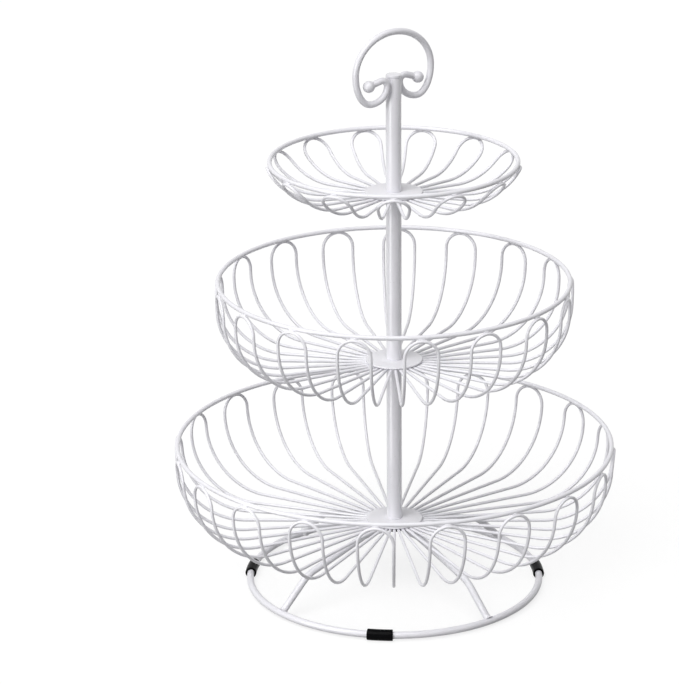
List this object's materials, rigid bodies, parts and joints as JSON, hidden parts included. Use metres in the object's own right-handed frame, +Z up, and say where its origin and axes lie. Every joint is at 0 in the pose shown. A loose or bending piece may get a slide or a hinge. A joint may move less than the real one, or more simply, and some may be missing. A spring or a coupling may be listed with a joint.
{
  "type": "wire produce basket",
  "caption": "Tiered wire fruit stand: round welded-wire bowls of falling size on a central post, with a scroll-ended carrying handle and a ring base on legs with rubber sleeves.",
  "frame": {"origin": "on the post axis at the surface the basket stands on", "axes": "+Z up along the post; -Y is the side the picture looks at, +X to its right"},
  "size_m": [0.312, 0.312, 0.4069],
  "materials": {
    "white_powder_coat": "satin white powder coat on steel wire",
    "black_rubber": "smooth black rubber with a slight sheen",
    "black_nut": "black oxide steel"
  },
  "bodies": {
    "stand": {"base_ring": "white_powder_coat", "base_leg_1": "white_powder_coat", "base_leg_2": "white_powder_coat", "base_leg_3": "white_powder_coat", "base_leg_4": "white_powder_coat", "rubber_foot_sleeve_1": "black_rubber", "rubber_foot_sleeve_2": "black_rubber", "rubber_foot_sleeve_3": "black_rubber", "rubber_foot_sleeve_4": "black_rubber", "bottom_bowl_rim": "white_powder_coat", "bottom_bowl_hub_disc": "white_powder_coat", "bottom_bowl_loop_wire_01": "white_powder_coat", "bottom_bowl_loop_wire_02": "white_powder_coat", "bottom_bowl_loop_wire_03": "white_powder_coat", "bottom_bowl_loop_wire_04": "white_powder_coat", "bottom_bowl_loop_wire_05": "white_powder_coat", "bottom_bowl_loop_wire_06": "white_powder_coat", "bottom_bowl_loop_wire_07": "white_powder_coat", "bottom_bowl_loop_wire_08": "white_powder_coat", "bottom_bowl_loop_wire_09": "white_powder_coat", "bottom_bowl_loop_wire_10": "white_powder_coat", "bottom_bowl_loop_wire_11": "white_powder_coat", "bottom_bowl_loop_wire_12": "white_powder_coat", "bottom_bowl_loop_wire_13": "white_powder_coat", "bottom_bowl_loop_wire_14": "white_powder_coat", "bottom_bowl_loop_wire_15": "white_powder_coat", "bottom_bowl_loop_wire_16": "white_powder_coat", "bottom_bowl_loop_wire_17": "white_powder_coat", "bottom_bowl_loop_wire_18": "white_powder_coat", "bottom_bowl_loop_wire_19": "white_powder_coat", "bottom_bowl_loop_wire_20": "white_powder_coat", "post_lower_section": "white_powder_coat", "post_middle_section": "white_powder_coat", "post_upper_section": "white_powder_coat", "post_top_cap": "white_powder_coat", "carrying_handle": "white_powder_coat", "post_clamp_nut": "black_nut"},
    "middle_bowl": {"middle_bowl_rim": "white_powder_coat", "middle_bowl_hub_disc": "white_powder_coat", "middle_bowl_loop_wire_01": "white_powder_coat", "middle_bowl_loop_wire_02": "white_powder_coat", "middle_bowl_loop_wire_03": "white_powder_coat", "middle_bowl_loop_wire_04": "white_powder_coat", "middle_bowl_loop_wire_05": "white_powder_coat", "middle_bowl_loop_wire_06": "white_powder_coat", "middle_bowl_loop_wire_07": "white_powder_coat", "middle_bowl_loop_wire_08": "white_powder_coat", "middle_bowl_loop_wire_09": "white_powder_coat", "middle_bowl_loop_wire_10": "white_powder_coat", "middle_bowl_loop_wire_11": "white_powder_coat", "middle_bowl_loop_wire_12": "white_powder_coat", "middle_bowl_loop_wire_13": "white_powder_coat", "middle_bowl_loop_wire_14": "white_powder_coat", "middle_bowl_loop_wire_15": "white_powder_coat", "middle_bowl_loop_wire_16": "white_powder_coat", "middle_bowl_loop_wire_17": "white_powder_coat"},
    "top_bowl": {"top_bowl_rim": "white_powder_coat", "top_bowl_hub_disc": "white_powder_coat", "top_bowl_wire_cage": "white_powder_coat"}
  },
  "joints": [
    {"name": "middle_bowl_turns_on_post", "type": "hinge", "parent": "stand", "child": "middle_bowl", "pos_m": [0, 0, 0.1688], "axis": [0, 0, 1], "continuous": true},
    {"name": "top_bowl_turns_on_post", "type": "hinge", "parent": "stand", "child": "top_bowl", "pos_m": [0, 0, 0.2915], "axis": [0, 0, 1], "continuous": true}
  ]
}
